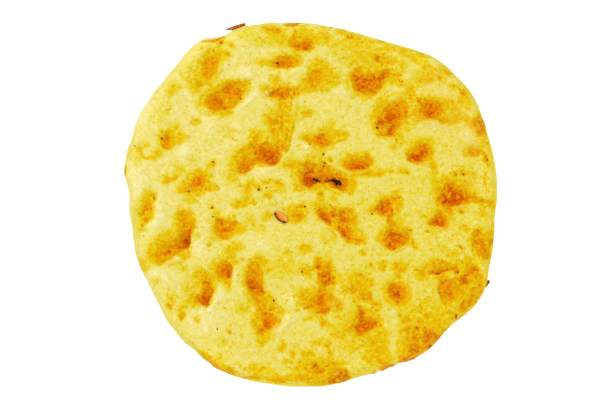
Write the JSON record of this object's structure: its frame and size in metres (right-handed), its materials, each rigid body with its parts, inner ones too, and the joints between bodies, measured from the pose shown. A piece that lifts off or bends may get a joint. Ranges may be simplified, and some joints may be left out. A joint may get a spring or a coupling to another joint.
{
  "type": "dimpled tortilla flatbread",
  "caption": "Round leavened flatbread with a plump rounded rim, a top dimpled all over by fingertips, browned hollows and a flat baked underside.",
  "frame": {"origin": "middle of the box's underside, on the surface the bread lies on", "axes": "+Z up through the thickness, +X along the longest width, to the right in the picture; +Y is up in the picture"},
  "size_m": [0.1992, 0.1944, 0.0186],
  "materials": {
    "baked_crust": "matte"
  },
  "bodies": {
    "root": {"flatbread": "baked_crust"}
  },
  "joints": []
}
